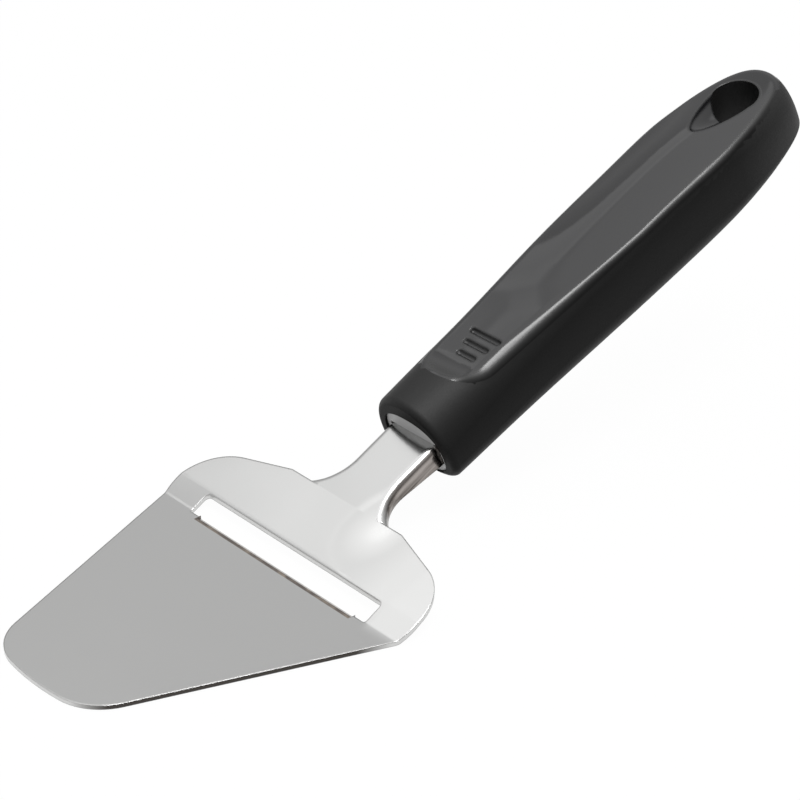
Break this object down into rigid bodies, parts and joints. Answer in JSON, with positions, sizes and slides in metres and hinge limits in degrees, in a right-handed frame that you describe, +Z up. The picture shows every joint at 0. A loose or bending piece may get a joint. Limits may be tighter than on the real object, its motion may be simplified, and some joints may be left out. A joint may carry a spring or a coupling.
{
  "type": "cheese slicer",
  "caption": "Hand-held plane for slicing cheese: spade-shaped steel blade with a cutting slot, a bent channel neck and a moulded handle with a hanging hole.",
  "frame": {"origin": "middle of the cutting edge, on the flat underside of the front plate", "axes": "+X from the blade's front edge towards the handle's end, +Y across the blade, +Z up, square to the front plate"},
  "size_m": [0.2134, 0.0774, 0.0708],
  "materials": {
    "blade_steel": "satin stainless",
    "core_plastic": "light grey moulding",
    "grip_plastic": "fine-grained black moulding"
  },
  "bodies": {
    "root": {"slicer_blade": "blade_steel", "handle_core": "core_plastic", "handle_grip": "grip_plastic"}
  },
  "joints": []
}
